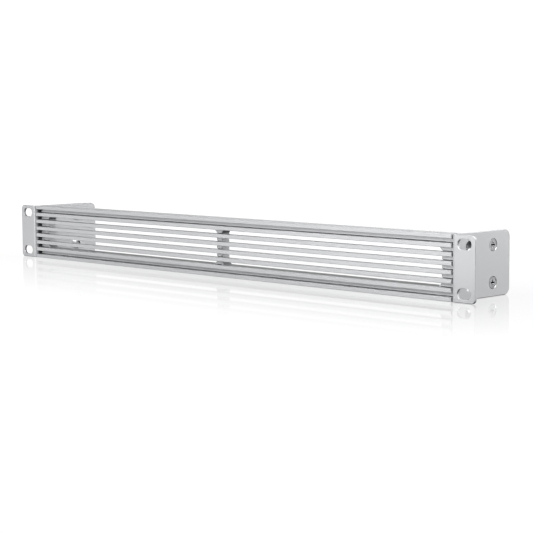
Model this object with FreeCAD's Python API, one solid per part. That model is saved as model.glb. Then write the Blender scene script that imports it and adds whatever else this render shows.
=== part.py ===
import FreeCAD, Part
import os

V = FreeCAD.Vector
os.makedirs("parts", exist_ok=True)

# ---------------------------------------------------------------------------
# Vented blanking panel for a 19 inch rack, one rack unit high.
# Origin: centre of the rack slot pattern, on the rear face of the ears.
# +X along the panel to the right, +Y back into the rack, +Z up. Millimetres.
# ---------------------------------------------------------------------------

# overall
PANEL_W = 482.6            # outer width over the ears
GRILLE_H = 43.7            # height of slats and frame
BRACKET_H = 43.5           # height of ears, bracket legs and end plates

# rack slots
SLOT_DX = 465.1            # slot centre to slot centre, across
SLOT_DZ = 31.75            # slot centre to slot centre, up
SLOT_W = 7.0               # slot height
SLOT_L = 11.0              # slot length, end to end

# bent brackets
SHEET_T = 2.0              # sheet thickness
BEND_R_OUT = 3.0           # bend radius on the grille side
LEG_IN_X = 222.0           # inner face of the bracket leg
LEG_REAR_Y = 58.4          # rear edge of the bracket leg
EAR_CORNER_R = 3.0
LEG_CORNER_R = 5.0
EDGE_R = 0.3               # broken edges of the sheet

# end plates
PLATE_T = 2.0
PLATE_FRONT_Y = 4.6
PLATE_REAR_Y = 60.8

# side fixing holes
SIDE_Y_FRONT = 14.9        # free countersunk holes
SIDE_Y_REAR = 39.9         # holes with screws
SIDE_DZ = 25.0             # upper to lower
CSK_R = 4.3                # countersink at the outer face
CSK_R_MIN = 2.3            # countersink at the inner face

# slats
N_SLATS = 8
BAND = GRILLE_H / (2 * N_SLATS - 1)   # slats and gaps are equally high
SLAT_HALF_L = 221.8
SLAT_FRONT_Y = -1.45
SLAT_BACK_Y = 3.05
SLAT_EDGE_R = 0.35

# grille frame
FRAME_HALF_L = 220.0
FRAME_BACK_Y = 11.2
WIN_X0 = 2.55              # edge of the centre post
WIN_X1 = 210.65            # edge of the end posts
WIN_HALF_H = BAND * 4.5    # the windows stand behind the middle nine bands
WIN_CORNER_R = 4.0
WIN_EDGE_R = 0.4
FRAME_EDGE_R = 0.4
SEAT_GAP_H = 0.32          # open line over each slat's seat in the frame
SEAT_GAP_D = 1.2

# slat pins
PIN_R = 0.75
PIN_CLEAR = 0.02
PIN_FRONT_Y = 0.35
PIN_X = 215.3

# M4 countersunk screws and clinch nuts
M4_R = 2.0
M4_HEAD_R = 3.95
M4_HEAD_SINK = 0.15        # head lies this far under the leg's face
M4_LEN = 5.0
M4_PITCH = 0.7
NUT_R = 4.0
NUT_R_FRONT = 3.5          # the front nuts clear the frame
NUT_H = 2.0
NUT_SHANK_R = 2.7
NUT_SHANK_L = 1.4
NUT_BORE_R = 2.06

# M3 countersunk screws, end plate to frame
M3_R = 1.5
M3_HEAD_R = 2.75
M3_CSK_R = 3.05           # countersink in the end plate
M3_LEN = 8.0
M3_Y = 8.0
M3_Z = BAND * 4

HG = GRILLE_H / 2
HB = BRACKET_H / 2
EPS = 1e-6


def box(x0, y0, z0, x1, y1, z1):
    return Part.makeBox(x1 - x0, y1 - y0, z1 - z0, V(x0, y0, z0))


def mirror_x(shape):
    return shape.mirror(V(0, 0, 0), V(1, 0, 0))


def edges_where(shape, test):
    out = []
    for e in shape.Edges:
        if test(e):
            out.append(e)
    return out


def along(e, axis):
    """True for a straight edge that runs along axis (0, 1 or 2)."""
    if not isinstance(e.Curve, (Part.Line, Part.LineSegment)):
        return False
    d = e.tangentAt(e.FirstParameter)
    return abs(abs(d[axis]) - 1) < 1e-6


def export(name, shapes):
    """One file per node; a group of like pieces is a compound of solids."""
    if isinstance(shapes, list):
        shape = Part.makeCompound(shapes)
        solids = [s for sh in shapes for s in sh.Solids]
    else:
        shape = shapes
        solids = shape.Solids
    for s in solids:
        if not s.isValid():
            raise RuntimeError("bad solid in " + name)
    shape.exportStep("parts/%s.step" % name)
    print("%-22s solids %2d  volume %9.1f" % (name, len(solids), sum(s.Volume for s in solids)))


def revolve_x(points, centre):
    """Solid of revolution about an axis along X through centre; points are (x, r)."""
    pts = [V(x, centre[1] + r, centre[2]) for x, r in points]
    pts.append(pts[0])
    face = Part.Face(Part.makePolygon(pts))
    return face.revolve(V(0, centre[1], centre[2]), V(1, 0, 0), 360)


# ---------------------------------------------------------------------------
# slats
# ---------------------------------------------------------------------------
def slat_z(i):
    """Middle height of slat i, counted from the top."""
    return HG - BAND / 2 - 2 * BAND * i


def make_slat(i):
    zc = slat_z(i)
    s = box(-SLAT_HALF_L, SLAT_FRONT_Y, zc - BAND / 2, SLAT_HALF_L, SLAT_BACK_Y, zc + BAND / 2)
    front = edges_where(s, lambda e: abs(e.BoundBox.YMax - SLAT_FRONT_Y) < EPS and e.BoundBox.YLength < EPS)
    s = s.makeFillet(SLAT_EDGE_R, front)
    for x in (-PIN_X, 0.0, PIN_X):
        s = s.cut(Part.makeCylinder(PIN_R + PIN_CLEAR, SLAT_BACK_Y - PIN_FRONT_Y + 1.15, V(x, PIN_FRONT_Y - 0.15, zc), V(0, 1, 0)))
    return s


# ---------------------------------------------------------------------------
# grille frame: one plate with two windows
# ---------------------------------------------------------------------------
def window(sign):
    x0, x1 = sorted((sign * WIN_X0, sign * WIN_X1))
    w = box(x0, SLAT_BACK_Y - 1, -WIN_HALF_H, x1, FRAME_BACK_Y + 1, WIN_HALF_H)
    return w.makeFillet(WIN_CORNER_R, edges_where(w, lambda e: along(e, 1)))


def make_frame():
    f = box(-FRAME_HALF_L, SLAT_BACK_Y, -HG, FRAME_HALF_L, FRAME_BACK_Y, HG)
    f = f.cut(window(1)).cut(window(-1))
    rear = edges_where(f, lambda e: e.BoundBox.YMin > FRAME_BACK_Y - EPS and e.BoundBox.YLength < EPS)
    f = f.makeFillet(FRAME_EDGE_R, rear)
    for i in range(N_SLATS):
        for x in (-PIN_X, 0.0, PIN_X):
            f = f.cut(Part.makeCylinder(PIN_R + PIN_CLEAR, 12, V(x, SLAT_BACK_Y - 1, slat_z(i)), V(0, 1, 0)))
    for i in range(1, N_SLATS):
        z = slat_z(i) + BAND / 2
        if abs(z + WIN_HALF_H) < EPS:         # level with the window sill: on the posts alone
            spans = ((-FRAME_HALF_L - 1, -WIN_X1), (-WIN_X0, WIN_X0), (WIN_X1, FRAME_HALF_L + 1))
        else:
            spans = ((-FRAME_HALF_L - 1, FRAME_HALF_L + 1),)
        for x0, x1 in spans:
            f = f.cut(box(x0, SLAT_BACK_Y - 1, z, x1, SLAT_BACK_Y + SEAT_GAP_D, z + SEAT_GAP_H))
    for sx in (-1, 1):
        for z in (-M3_Z, M3_Z):
            f = f.cut(Part.makeCylinder(M3_R + 0.03, 7.0, V(sx * (FRAME_HALF_L + 0.5), M3_Y, z), V(-sx, 0, 0)))
    return f


def make_pins(x):
    out = []
    for i in range(N_SLATS):
        p = Part.makeCylinder(PIN_R, FRAME_BACK_Y - PIN_FRONT_Y, V(x, PIN_FRONT_Y, slat_z(i)), V(0, 1, 0))
        rim = edges_where(p, lambda e: e.BoundBox.YMin > FRAME_BACK_Y - EPS)
        out.append(p.makeFillet(0.2, rim))
    return out


# ---------------------------------------------------------------------------
# rack brackets (right-hand one; the left is its mirror image)
# ---------------------------------------------------------------------------
def slot(x, z):
    r = SLOT_W / 2
    h = SLOT_L / 2 - r
    y0 = -SHEET_T - 1
    d = SHEET_T + 2
    b = box(x - h, y0, z - r, x + h, y0 + d, z + r)
    for s in (-1, 1):
        b = b.fuse(Part.makeCylinder(r, d, V(x + s * h, y0, z), V(0, 1, 0)))
    return b.removeSplitter()


def make_bracket():
    t = SHEET_T
    xo = PANEL_W / 2
    ri = BEND_R_OUT - t
    cx, cy = LEG_IN_X + BEND_R_OUT, -t + BEND_R_OUT     # bend centre
    k = 0.5 ** 0.5
    z0 = -HB

    def p(x, y):
        return V(x, y, z0)
    edges = [
        Part.LineSegment(p(xo, -t), p(xo, 0)).toShape(),
        Part.LineSegment(p(xo, 0), p(cx, 0)).toShape(),
        Part.Arc(p(cx, 0), p(cx - ri * k, cy - ri * k), p(LEG_IN_X + t, cy)).toShape(),
        Part.LineSegment(p(LEG_IN_X + t, cy), p(LEG_IN_X + t, LEG_REAR_Y)).toShape(),
        Part.LineSegment(p(LEG_IN_X + t, LEG_REAR_Y), p(LEG_IN_X, LEG_REAR_Y)).toShape(),
        Part.LineSegment(p(LEG_IN_X, LEG_REAR_Y), p(LEG_IN_X, cy)).toShape(),
        Part.Arc(p(LEG_IN_X, cy), p(cx - BEND_R_OUT * k, cy - BEND_R_OUT * k), p(cx, -t)).toShape(),
        Part.LineSegment(p(cx, -t), p(xo, -t)).toShape(),
    ]
    b = Part.Face(Part.Wire(edges)).extrude(V(0, 0, 2 * HB))
    # rounded corners of the ear and of the leg
    b = b.makeFillet(EAR_CORNER_R, edges_where(b, lambda e: along(e, 1) and abs(e.BoundBox.XMin - xo) < EPS))
    b = b.makeFillet(LEG_CORNER_R, edges_where(b, lambda e: along(e, 0) and abs(e.BoundBox.YMin - LEG_REAR_Y) < EPS))
    # rack slots
    for z in (-SLOT_DZ / 2, SLOT_DZ / 2):
        b = b.cut(slot(SLOT_DX / 2, z))

    # broken edges all round both skins of the sheet
    def skin_edge(e):
        bb = e.BoundBox
        if along(e, 2) and bb.XMax < xo - EPS and bb.YMax < LEG_REAR_Y - EPS:
            return False                      # tangent lines of the bend
        if along(e, 1) and bb.YLength < t + EPS and bb.XMin > LEG_IN_X + t + EPS:
            return False                      # across the thickness of the ear
        if along(e, 0) and bb.XLength < t + EPS and bb.YMin > cy + EPS:
            return False                      # across the thickness of the leg
        if along(e, 0) and bb.XMin < LEG_IN_X + EPS and bb.XMax < cx and bb.YMin < cy + EPS:
            return False
        return True
    b = b.makeFillet(EDGE_R, edges_where(b, skin_edge))
    # countersunk side holes
    for y in (SIDE_Y_FRONT, SIDE_Y_REAR):
        for z in (-SIDE_DZ / 2, SIDE_DZ / 2):
            b = b.cut(Part.makeCone(CSK_R, CSK_R_MIN, t, V(LEG_IN_X + t, y, z), V(-1, 0, 0)))
    return b


# ---------------------------------------------------------------------------
# end plates (right-hand one)
# ---------------------------------------------------------------------------
def make_end_plate():
    xi, xo = LEG_IN_X - PLATE_T, LEG_IN_X
    e = box(xi, PLATE_FRONT_Y, -HB, xo, PLATE_REAR_Y, HB)
    e = e.makeFillet(LEG_CORNER_R, edges_where(e, lambda d: along(d, 0) and d.BoundBox.YMin > PLATE_REAR_Y - EPS))
    rim = edges_where(e, lambda d: d.BoundBox.XLength < EPS)
    e = e.makeFillet(EDGE_R, rim)
    for y in (SIDE_Y_FRONT, SIDE_Y_REAR):
        for z in (-SIDE_DZ / 2, SIDE_DZ / 2):
            e = e.cut(Part.makeCylinder(NUT_SHANK_R + 0.02, PLATE_T + 2, V(xi - 1, y, z), V(1, 0, 0)))
    for z in (-M3_Z, M3_Z):
        e = e.cut(Part.makeCone(M3_CSK_R, M3_R + 0.1, M3_CSK_R - M3_R - 0.1, V(xo, M3_Y, z), V(-1, 0, 0)))
        e = e.cut(Part.makeCylinder(M3_R + 0.1, PLATE_T + 2, V(xi - 1, M3_Y, z), V(1, 0, 0)))
    return e


# ---------------------------------------------------------------------------
# fasteners (right-hand side)
# ---------------------------------------------------------------------------
def loft_rect(x0, x1, half0, half1, y, z):
    """Tapered rectangular plug along X; half0 and half1 are (half y, half z)."""
    def wire(x, h):
        pts = [V(x, y - h[0], z - h[1]), V(x, y + h[0], z - h[1]), V(x, y + h[0], z + h[1]), V(x, y - h[0], z + h[1])]
        return Part.makePolygon(pts + [pts[0]])
    return Part.makeLoft([wire(x0, half0), wire(x1, half1)], True, True)


def cross_recess(x, y, z, size):
    """Cross recess sunk towards -X from a head face at x."""
    a = loft_rect(x + 0.05, x - 0.80 * size, (0.98 * size, 0.27 * size), (0.50 * size, 0.20 * size), y, z)
    b = loft_rect(x + 0.05, x - 0.80 * size, (0.27 * size, 0.98 * size), (0.20 * size, 0.50 * size), y, z)
    c = Part.makeCone(0.52 * size, 0.20 * size, 0.95 * size, V(x + 0.05, y, z), V(-1, 0, 0))
    return a.fuse(b).fuse(c)


def csk_screw(x_face, y, z, r, head_r, length, pitch, recess):
    """Countersunk screw that points towards -X; the thread is shown as rings."""
    depth = 0.54 * pitch
    tip = x_face - length
    pts = [(x_face, 0), (x_face, head_r), (x_face - 0.12, head_r)]
    x_neck = x_face - 0.12 - (head_r - r)
    pts += [(x_neck, r)]
    x = x_neck - 0.6
    pts += [(x, r)]
    while x - pitch > tip + 0.45:
        pts += [(x - 0.45 * pitch, r - depth), (x - 0.55 * pitch, r - depth), (x - 0.95 * pitch, r), (x - pitch, r)]
        x -= pitch
    pts += [(tip + 0.4, r), (tip, r - 0.45), (tip, 0)]
    s = revolve_x(pts, (0, y, z))
    return s.cut(cross_recess(x_face, y, z, recess))


def make_bracket_screws():
    xf = LEG_IN_X + SHEET_T - M4_HEAD_SINK
    return [csk_screw(xf, SIDE_Y_REAR, z, M4_R, M4_HEAD_R, M4_LEN, M4_PITCH, 2.1) for z in (-SIDE_DZ / 2, SIDE_DZ / 2)]


def make_nuts():
    out = []
    xi = LEG_IN_X - PLATE_T
    for y, r in ((SIDE_Y_FRONT, NUT_R_FRONT), (SIDE_Y_REAR, NUT_R)):
        for z in (-SIDE_DZ / 2, SIDE_DZ / 2):
            pts = [(xi + NUT_SHANK_L, NUT_BORE_R), (xi + NUT_SHANK_L, NUT_SHANK_R), (xi, NUT_SHANK_R), (xi, r),
                   (xi - NUT_H + 0.35, r), (xi - NUT_H, r - 0.35), (xi - NUT_H, NUT_BORE_R + 0.35), (xi - NUT_H + 0.35, NUT_BORE_R)]
            out.append(revolve_x(pts, (0, y, z)))
    return out


def make_frame_screws():
    xf = LEG_IN_X - 0.1
    return [csk_screw(xf, M3_Y, z, M3_R, M3_HEAD_R, M3_LEN, 0.5, 1.5) for z in (-M3_Z, M3_Z)]


# ---------------------------------------------------------------------------
# write the pieces
# ---------------------------------------------------------------------------
SLAT_NAMES = ["slat_1_top", "slat_2", "slat_3", "slat_4", "slat_5", "slat_6", "slat_7", "slat_8_bottom"]
for i, name in enumerate(SLAT_NAMES):
    export(name, make_slat(i))

export("grille_frame", make_frame())
export("slat_pins_left", make_pins(-PIN_X))
export("slat_pins_centre", make_pins(0.0))
export("slat_pins_right", make_pins(PIN_X))

bracket = make_bracket()
export("rack_bracket_right", bracket)
export("rack_bracket_left", mirror_x(bracket))

plate = make_end_plate()
export("end_plate_right", plate)
export("end_plate_left", mirror_x(plate))

for base, pieces in (("bracket_screws", make_bracket_screws()), ("clinch_nuts", make_nuts()), ("frame_screws", make_frame_screws())):
    export(base + "_right", pieces)
    export(base + "_left", [mirror_x(s) for s in pieces])
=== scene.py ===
import math

import bpy
from mathutils import Matrix, Vector


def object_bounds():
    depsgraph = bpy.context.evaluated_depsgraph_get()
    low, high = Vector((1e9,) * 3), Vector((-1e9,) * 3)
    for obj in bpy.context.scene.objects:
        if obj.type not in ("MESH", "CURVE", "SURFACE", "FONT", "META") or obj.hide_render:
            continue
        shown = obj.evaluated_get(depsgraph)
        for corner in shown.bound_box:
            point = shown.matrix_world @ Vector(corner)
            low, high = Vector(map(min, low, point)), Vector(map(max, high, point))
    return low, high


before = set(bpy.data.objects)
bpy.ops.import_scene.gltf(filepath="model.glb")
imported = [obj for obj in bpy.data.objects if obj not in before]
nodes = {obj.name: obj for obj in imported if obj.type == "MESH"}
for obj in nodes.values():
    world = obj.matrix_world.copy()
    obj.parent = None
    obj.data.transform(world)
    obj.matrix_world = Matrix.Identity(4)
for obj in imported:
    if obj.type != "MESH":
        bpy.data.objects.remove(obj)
cad_box = [list(map(float, c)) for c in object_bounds()]
scene = bpy.context.scene
FLOOR_Z = cad_box[0][2]

# ---------------------------------------------------------------------------
# camera: three-quarter view from the right, slightly above
# ---------------------------------------------------------------------------
CAM_POS = Vector((0.818313, -0.762811, 0.100798))
CAM_YAW, CAM_PITCH, CAM_ROLL = -0.787162, -0.102876, -0.004788
CAM_LENS = 101.8438

fwd = Vector((math.sin(CAM_YAW) * math.cos(CAM_PITCH), math.cos(CAM_YAW) * math.cos(CAM_PITCH), math.sin(CAM_PITCH)))
right = Vector((math.cos(CAM_YAW), -math.sin(CAM_YAW), 0.0))
up = right.cross(fwd)
r2 = right * math.cos(CAM_ROLL) + up * math.sin(CAM_ROLL)
u2 = up * math.cos(CAM_ROLL) - right * math.sin(CAM_ROLL)
cam_data = bpy.data.cameras.new("camera")
cam_data.lens = CAM_LENS
cam_data.sensor_fit = "HORIZONTAL"
cam_data.sensor_width = 36.0
cam_data.clip_start = 0.01
cam_data.clip_end = 200.0
cam = bpy.data.objects.new("camera", cam_data)
scene.collection.objects.link(cam)
cam.matrix_world = Matrix((
    (r2.x, u2.x, -fwd.x, CAM_POS.x),
    (r2.y, u2.y, -fwd.y, CAM_POS.y),
    (r2.z, u2.z, -fwd.z, CAM_POS.z),
    (0, 0, 0, 1)))
scene.camera = cam


# ---------------------------------------------------------------------------
# node helpers
# ---------------------------------------------------------------------------
class Tree:
    """Short names for building a shader tree."""

    def __init__(self, tree):
        self.t = tree

    def n(self, kind, **kw):
        nd = self.t.nodes.new(kind)
        for k, v in kw.items():
            setattr(nd, k, v)
        return nd

    def l(self, a, b):
        self.t.links.new(a, b)

    def math(self, op, a, b=None, c=None, clamp=False):
        nd = self.n("ShaderNodeMath", operation=op, use_clamp=clamp)
        for i, v in enumerate((a, b, c)):
            if v is None:
                continue
            if isinstance(v, (int, float)):
                nd.inputs[i].default_value = v
            else:
                self.l(v, nd.inputs[i])
        return nd.outputs[0]

    def span(self, v, lo, hi, out_lo, out_hi, smooth=False):
        nd = self.n("ShaderNodeMapRange", interpolation_type="SMOOTHSTEP" if smooth else "LINEAR")
        self.l(v, nd.inputs["Value"])
        for k, x in (("From Min", lo), ("From Max", hi), ("To Min", out_lo), ("To Max", out_hi)):
            nd.inputs[k].default_value = x
        return nd.outputs[0]

    def noise(self, vec, scale, detail=2.0, rough=0.5):
        nd = self.n("ShaderNodeTexNoise")
        nd.inputs["Scale"].default_value = scale
        nd.inputs["Detail"].default_value = detail
        nd.inputs["Roughness"].default_value = rough
        self.l(vec, nd.inputs["Vector"])
        return nd.outputs["Fac"]

    def stretch(self, vec, sx, sy, sz):
        nd = self.n("ShaderNodeMapping")
        nd.inputs["Scale"].default_value = (sx, sy, sz)
        self.l(vec, nd.inputs["Vector"])
        return nd.outputs[0]

    def ramp(self, fac, *stops):
        nd = self.n("ShaderNodeValToRGB")
        el = nd.color_ramp.elements
        while len(el) < len(stops):
            el.new(0.5)
        for e, (pos, col) in zip(el, stops):
            e.position = pos
            e.color = (*col, 1)
        self.l(fac, nd.inputs[0])
        return nd.outputs[0]

    def mix(self, fac, a, b):
        nd = self.n("ShaderNodeMix", data_type="RGBA")
        self.l(fac, nd.inputs["Factor"])
        for k, v in ((6, a), (7, b)):
            if isinstance(v, tuple):
                nd.inputs[k].default_value = (*v, 1)
            else:
                self.l(v, nd.inputs[k])
        return nd.outputs[2]


class Mat(Tree):
    def __init__(self, name):
        self.m = bpy.data.materials.new(name)
        self.m.use_nodes = True
        super().__init__(self.m.node_tree)
        self.t.nodes.clear()
        self.out = self.n("ShaderNodeOutputMaterial")
        self.b = self.n("ShaderNodeBsdfPrincipled")
        self.l(self.b.outputs[0], self.out.inputs[0])
        self.obj = self.n("ShaderNodeTexCoord").outputs["Object"]

    def bump(self, height, strength, distance):
        nd = self.n("ShaderNodeBump")
        nd.inputs["Strength"].default_value = strength
        nd.inputs["Distance"].default_value = distance
        self.l(height, nd.inputs["Height"])
        self.l(nd.outputs[0], self.b.inputs["Normal"])

    def xyz(self, vec):
        nd = self.n("ShaderNodeSeparateXYZ")
        self.l(vec, nd.inputs[0])
        return nd.outputs["X"], nd.outputs["Y"], nd.outputs["Z"]

    def within(self, v, lo, hi):
        return self.math("MULTIPLY", self.math("GREATER_THAN", v, lo), self.math("LESS_THAN", v, hi))

    def edges(self):
        """1 on rounded edges, 0 on the flats, which all face along X, Y or Z."""
        x, y, z = (self.math("ABSOLUTE", c) for c in self.xyz(self.n("ShaderNodeNewGeometry").outputs["True Normal"]))
        return self.span(self.math("MAXIMUM", self.math("MAXIMUM", x, y), z), 0.99, 0.88, 0.0, 1.0)


def grey(v):
    return (v * 0.984, v * 0.996, v * 1.018)


METAL, ROUGH = 0.45, 0.33


def satin(name, tone, grain, streak, holes=False, wear_shade_zone="all"):
    """Silver satin coat on metal. grain: size of the coat's pebble, streak: strength of the drawn lines along X."""
    m = Mat(name)
    px, py, pz = m.xyz(m.obj)
    cloud = m.noise(m.obj, 28.0, 3.0)
    fine = m.noise(m.obj, grain, 2.0, 0.6)
    lines = m.noise(m.stretch(m.obj, 12.0, 5200.0, 5200.0), 1.0, 3.0, 0.65)
    col = m.ramp(cloud, (0.25, grey(tone * 0.975)), (0.75, grey(tone * 1.025)))
    speck = m.span(fine, 0.30, 0.72, 0.0, 0.10)
    col = m.mix(speck, col, grey(tone * 1.22))
    edge = m.edges()
    if wear_shade_zone == "rear":       # not in the corners of the windows
        corner = m.math("MULTIPLY", edge, m.math("LESS_THAN", py, 0.0107))
        edge = m.math("SUBTRACT", edge, corner)
    elif wear_shade_zone == "rim":      # not on the bend
        bend = m.math("MULTIPLY", m.math("LESS_THAN", m.math("ABSOLUTE", px), 0.2262), m.math("LESS_THAN", py, 0.0022))
        edge = m.math("MULTIPLY", edge, m.math("SUBTRACT", 1.0, bend))
    # rubbed coat on the rounded edges, more metallic and smoother, with a painted highlight there: the colour is
    # lighter
    wear_and_highlight = m.math("MULTIPLY", edge, m.span(m.noise(m.obj, 240.0, 4.0, 0.7), 0.40, 0.66, 0.15, 0.75))
    col = m.mix(wear_and_highlight, col, grey(tone * 1.28))
    height = m.math("ADD", m.math("MULTIPLY", fine, 1.0 - streak), m.math("MULTIPLY", lines, streak))
    rough = m.span(height, 0.25, 0.75, ROUGH - 0.05, ROUGH + 0.05)
    rough = m.math("SUBTRACT", rough, m.math("MULTIPLY", wear_and_highlight, 0.06))
    metal = m.span(wear_and_highlight, 0.0, 1.0, METAL, METAL + 0.35)
    # painted shade: darker, duller coat in the recesses and along the bottom edge that stands on the floor
    painted_shade = None
    if wear_shade_zone == "rear":
        # painted shade in a band just behind the frame's front face: the seat grooves over the slats and the fronts of
        # the window walls
        nx = m.math("ABSOLUTE", m.xyz(m.n("ShaderNodeNewGeometry").outputs["True Normal"])[0])
        painted_shade = m.math("MULTIPLY", m.within(py, 0.00312, 0.00440), m.span(nx, 0.2, 0.4, 0.85, 0.0))
        # painted shade in the window corners
        painted_shade = m.math("MAXIMUM", painted_shade, m.math("MULTIPLY", corner, m.span(pz, -0.005, 0.005, 0.45, 0.50)))
        # painted dark line along the bottom sill
        painted_shade = m.math("MAXIMUM", painted_shade, m.math("MULTIPLY", m.within(pz, -0.01316, -0.01306), 0.24))
    elif wear_shade_zone == "rim":
        # painted shade towards the bottom edge that stands on the floor
        low = m.span(pz, -0.02120, -0.02160, 0.0, 0.85, True)
        # painted shade in the pocket behind the ear, on the inner face of the leg
        inner = m.math("MULTIPLY", m.within(m.math("ABSOLUTE", px), 0.2215, 0.22215), m.within(py, 0.0008, 0.0048))
        painted_shade = m.math("MAXIMUM", low, m.math("MULTIPLY", inner, 0.85))
    elif wear_shade_zone == "plate":
        # painted shade on the front edge of the end plate
        painted_shade = m.span(py, 0.0050, 0.0048, 0.0, 0.85)
    if painted_shade is not None:
        # the painted shade darkens the colour and dulls the coat
        col = m.mix(painted_shade, col, grey(0.05))
        metal = m.math("MULTIPLY", metal, m.math("SUBTRACT", 1.0, painted_shade))
        rough = m.math("ADD", rough, m.math("MULTIPLY", painted_shade, 0.35))
    if holes:
        # machined countersinks in the side legs are bare bright metal
        dz = m.math("SUBTRACT", m.math("ABSOLUTE", pz), 0.0125)
        dy = m.math("MINIMUM",
                    m.math("ABSOLUTE", m.math("SUBTRACT", py, 0.0149)),
                    m.math("ABSOLUTE", m.math("SUBTRACT", py, 0.0399)))
        rad = m.math("SQRT", m.math("ADD", m.math("MULTIPLY", dz, dz), m.math("MULTIPLY", dy, dy)))
        rings = m.math("SINE", m.math("MULTIPLY", rad, 42000.0))
        bare = m.math("LESS_THAN", rad, 0.00432)
        # the lower free holes kept most of their coat
        coated = m.math("MULTIPLY", m.math("LESS_THAN", py, 0.025), m.math("LESS_THAN", pz, 0.0))
        bare = m.math("MULTIPLY", bare, m.math("SUBTRACT", 1.0, m.math("MULTIPLY", coated, 0.85)))
        col = m.mix(bare, col, grey(0.68))
        metal = m.math("MAXIMUM", metal, bare)
        turned = m.span(rings, -1.0, 1.0, 0.22, 0.30)
        keep = m.math("SUBTRACT", 1.0, bare)
        rough = m.math("ADD", m.math("MULTIPLY", rough, keep), m.math("MULTIPLY", turned, bare))
    m.l(col, m.b.inputs["Base Color"])
    m.l(metal, m.b.inputs["Metallic"])
    m.l(rough, m.b.inputs["Roughness"])
    m.bump(height, 0.03, 0.00004)
    return m.m


def plated(name, tone, rough, grain, recess=False):
    """Zinc or steel fastener: bright metal with a fine mottled plating and rubbed spots."""
    m = Mat(name)
    mott = m.noise(m.obj, grain, 4.0, 0.6)
    fine = m.noise(m.obj, grain * 9.0, 2.0)
    col = m.ramp(mott, (0.30, grey(tone * 0.86)), (0.70, grey(tone * 1.10)))
    rub = m.span(m.noise(m.obj, grain * 0.45, 3.0, 0.7), 0.52, 0.70, 0.0, 0.6)
    col = m.mix(rub, col, grey(min(tone * 1.4, 0.92)))
    if recess:
        # painted shade in the level bar of the cross recess, painted highlight on the walls of the upright one
        px, py, pz = m.xyz(m.obj)
        dz = m.math("ABSOLUTE", m.math("SUBTRACT", m.math("ABSOLUTE", pz), 0.0125))
        dy = m.math("ABSOLUTE", m.math("SUBTRACT", py, 0.0399))
        inside = m.math("MULTIPLY", m.within(m.math("ABSOLUTE", px), 0.2215, 0.22375), m.math("LESS_THAN", dy, 0.0022))
        inside = m.math("MULTIPLY", inside, m.math("LESS_THAN", dz, 0.0022))
        level_bar_shade = m.math("MULTIPLY", inside, m.span(dz, 0.00045, 0.00060, 1.0, 0.0))
        upright_arm_highlight = m.math("SUBTRACT", inside, level_bar_shade)
        col = m.mix(upright_arm_highlight, col, grey(0.70))
        col = m.mix(level_bar_shade, col, grey(0.03))
    m.l(col, m.b.inputs["Base Color"])
    m.l(m.span(fine, 0.25, 0.75, rough - 0.06, rough + 0.06), m.b.inputs["Roughness"])
    m.b.inputs["Metallic"].default_value = 1.0
    m.bump(fine, 0.12, 0.00003)
    return m.m


mat_slat = satin("slat_coat", 0.442, 5200.0, 0.55)
mat_frame = satin("frame_coat", 0.455, 5200.0, 0.45, wear_shade_zone="rear")
mat_bracket = satin("bracket_coat", 0.42, 4200.0, 0.10, holes=True, wear_shade_zone="rim")
mat_plate = satin("plate_coat", 0.44, 4200.0, 0.10, wear_shade_zone="plate")
mat_screw = plated("screw_zinc", 0.34, 0.42, 900.0, recess=True)
mat_nut = plated("nut_zinc", 0.74, 0.20, 900.0)
mat_pin = plated("pin_steel", 0.52, 0.28, 1400.0)

for name, obj in nodes.items():
    if name.startswith("slat_pins"):
        m = mat_pin
    elif name.startswith("slat_"):
        m = mat_slat
    elif name == "grille_frame":
        m = mat_frame
    elif name.startswith("rack_bracket"):
        m = mat_bracket
    elif name.startswith("end_plate"):
        m = mat_plate
    elif name.startswith("clinch"):
        m = mat_nut
    else:
        m = mat_screw
    obj.data.materials.clear()
    obj.data.materials.append(m)

# ---------------------------------------------------------------------------
# pale floor: white, polished near the part so that it mirrors it faintly
# ---------------------------------------------------------------------------
me = bpy.data.meshes.new("floor")
S = 40.0
me.from_pydata([(-S, -S, FLOOR_Z), (S, -S, FLOOR_Z), (S, S, FLOOR_Z), (-S, S, FLOOR_Z)], [], [(0, 1, 2, 3)])
floor = bpy.data.objects.new("floor", me)
scene.collection.objects.link(floor)
f = Mat("floor_white")
f.t.nodes.remove(f.b)
sep = f.n("ShaderNodeSeparateXYZ")
f.l(f.obj, sep.inputs[0])
dx = f.math("MAXIMUM", f.math("SUBTRACT", f.math("ABSOLUTE", sep.outputs["X"]), 0.236), 0.0)
dy = f.math("MAXIMUM", f.math("SUBTRACT", f.math("ABSOLUTE", f.math("SUBTRACT", sep.outputs["Y"], 0.029)), 0.031), 0.0)
dist = f.math("SQRT", f.math("ADD", f.math("MULTIPLY", dx, dx), f.math("MULTIPLY", dy, dy)))
gloss = f.n("ShaderNodeBsdfGlossy")
gloss.inputs["Roughness"].default_value = 0.05
glow = f.n("ShaderNodeEmission")
glow.inputs["Strength"].default_value = 1.04
mixs = f.n("ShaderNodeMixShader")
polish = f.n("ShaderNodeFresnel")
polish.inputs["IOR"].default_value = 1.3
shine = f.math("MULTIPLY", f.math("MINIMUM", polish.outputs[0], 0.45), f.span(dist, 0.0, 0.165, 1.0, 0.0))
f.l(f.math("MULTIPLY", shine, f.span(sep.outputs["X"], -0.24, 0.24, 0.76, 1.00)), mixs.inputs[0])
f.l(glow.outputs[0], mixs.inputs[1])
f.l(gloss.outputs[0], mixs.inputs[2])
f.l(mixs.outputs[0], f.out.inputs[0])
me.materials.append(f.m)
floor.visible_diffuse = False
floor.visible_glossy = False

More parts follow.
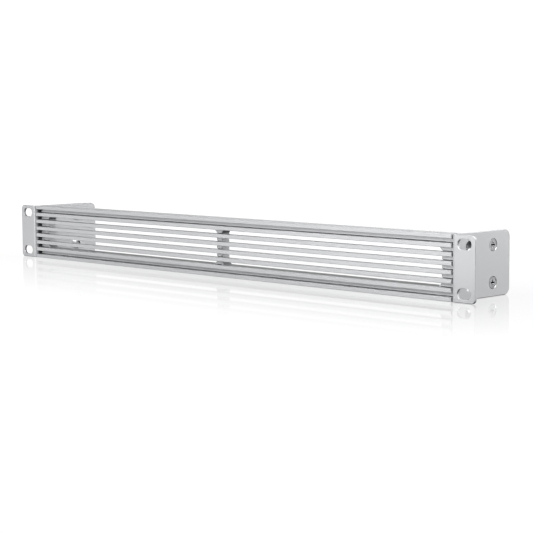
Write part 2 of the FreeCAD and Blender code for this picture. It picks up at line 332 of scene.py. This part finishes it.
# the floor close in front, as the part sees it: greyer, because the part stands in its light
me = bpy.data.meshes.new("near_floor")
NEAR_Z = FLOOR_Z - 0.001
me.from_pydata([(-0.27, -0.065, NEAR_Z), (0.238, -0.065, NEAR_Z), (0.238, 0.004, NEAR_Z), (-0.27, 0.004, NEAR_Z)], [], [(0, 1, 2, 3)])
near = bpy.data.objects.new("near_floor", me)
scene.collection.objects.link(near)
g = Mat("near_floor_grey")
g.t.nodes.remove(g.b)
shade = g.n("ShaderNodeEmission")
g.l(g.span(g.xyz(g.obj)[0], -0.24, 0.24, 0.72, 0.52), shade.inputs["Strength"])
g.l(shade.outputs[0], g.out.inputs[0])
me.materials.append(g.m)
near.visible_camera = False
near.visible_shadow = False

lit = bpy.data.collections.new("lit_by_softboxes")     # everything but the floor, which glows by itself
lit.objects.link(floor)
lit.collection_objects[0].light_linking.link_state = "EXCLUDE"

# ---------------------------------------------------------------------------
# studio: white backdrop behind the part, dim room elsewhere, softboxes round it
# ---------------------------------------------------------------------------
world = bpy.data.worlds.new("studio")
scene.world = world
world.use_nodes = True
w = Tree(world.node_tree)
bg = world.node_tree.nodes["Background"]
bg.inputs["Color"].default_value = (1.0, 1.0, 1.0, 1.0)
wsep = w.n("ShaderNodeSeparateXYZ")
w.l(w.n("ShaderNodeTexCoord").outputs["Generated"], wsep.inputs[0])


def lobe(dx, dy, strength):
    """Soft patch of the studio wall or floor towards (dx, dy)."""
    d = w.math("ADD", w.math("MULTIPLY", wsep.outputs["X"], dx), w.math("MULTIPLY", wsep.outputs["Y"], dy))
    return w.span(d, 0.0, 0.9, 0.0, strength, True)


K = 0.5 ** 0.5
wall = w.math("MULTIPLY", w.span(wsep.outputs["Z"], 0.09, 0.40, 1.0, 0.0, True), w.math("GREATER_THAN", wsep.outputs["Z"], 0.0))
ground = w.math("MULTIPLY", w.span(wsep.outputs["Z"], -0.6, -0.1, 0.0, 1.0, True), w.math("LESS_THAN", wsep.outputs["Z"], 0.0))
room = w.math("MULTIPLY", lobe(-K, K, 0.95), wall)
room = w.math("ADD", room, w.math("MULTIPLY", lobe(-K, K, 0.95), ground))
room = w.math("ADD", room, w.math("MULTIPLY", lobe(-K, -K, 1.13), ground))
room = w.math("ADD", room, w.math("MULTIPLY", lobe(K, K, 0.80), ground))
w.l(w.math("ADD", room, w.span(wsep.outputs["Z"], -0.01, 0.01, 0.04, 0.15)), bg.inputs["Strength"])


def softbox(name, az, el, dist, sx, sy, radiance, aim=(0.0, 0.02, 0.0)):
    """az from the front (-Y) towards the right (+X), el above the horizon, in degrees."""
    a, e = math.radians(az), math.radians(el)
    aim = Vector(aim)
    d = Vector((math.sin(a) * math.cos(e), -math.cos(a) * math.cos(e), math.sin(e)))
    ld = bpy.data.lights.new(name, "AREA")
    ld.shape = "RECTANGLE"
    ld.size, ld.size_y = sx, sy
    ld.energy = radiance * math.pi * sx * sy
    lo = bpy.data.objects.new(name, ld)
    scene.collection.objects.link(lo)
    lo.location = aim + d * dist
    lo.rotation_euler = (-d).to_track_quat("-Z", "Y").to_euler()
    lo.visible_camera = False
    lo.light_linking.receiver_collection = lit
    return lo


softbox("soft_left", -80, 11, 1.4, 0.50, 0.30, 6.0)
softbox("soft_front_left", -25, 4, 1.4, 0.70, 0.20, 5.3)
softbox("soft_front", 0, 20, 1.4, 0.50, 0.11, 66.0)
softbox("soft_front_high", 0, 45, 1.4, 0.60, 0.60, 2.0)
softbox("soft_left_high", -60, 45, 1.4, 0.60, 0.60, 1.2)
softbox("soft_right", 95, 33, 1.4, 0.50, 0.26, 33.0)
softbox("soft_right_high", 64, 45, 1.4, 0.50, 0.50, 6.5)
softbox("soft_back_right", 150, 4, 1.4, 0.50, 0.20, 7.5)
softbox("soft_back", -160, 11, 1.4, 0.50, 0.30, 1.6)
softbox("soft_back_high", 140, 24, 1.4, 0.60, 0.40, 2.8)
softbox("soft_near_top", 60, 72, 0.47, 0.50, 0.30, 4.2, aim=(0.13, -0.02, 0.0))
softbox("soft_near_ear", 10, 55, 0.35, 0.20, 0.20, 4.6, aim=(0.24, -0.02, 0.02))

# white studio walls that only the polished floor mirrors
walls = bpy.data.collections.new("lit_by_walls")
walls.objects.link(floor)
for i, (az, half) in enumerate(((-63, 18), (-20, 31), (45, 42), (110, 31), (153, 18))):
    reach, tall = 3.0, 2.2
    a = math.radians(az)
    d = Vector((math.sin(a), -math.cos(a), 0.0))
    ld = bpy.data.lights.new("wall_%d" % (i + 1), "AREA")
    ld.shape = "RECTANGLE"
    ld.size, ld.size_y = 2.0 * reach * math.tan(math.radians(half)), tall
    ld.energy = 1.4 * math.pi * ld.size * ld.size_y
    lo = bpy.data.objects.new("wall_%d" % (i + 1), ld)
    scene.collection.objects.link(lo)
    lo.location = d * reach + Vector((0.0, 0.0, FLOOR_Z + tall / 2))
    lo.rotation_euler = (-d).to_track_quat("-Z", "Y").to_euler()
    lo.visible_camera = False
    lo.light_linking.receiver_collection = walls

scene.view_settings.view_transform = "Standard"
scene.cycles.filter_width = 1.3
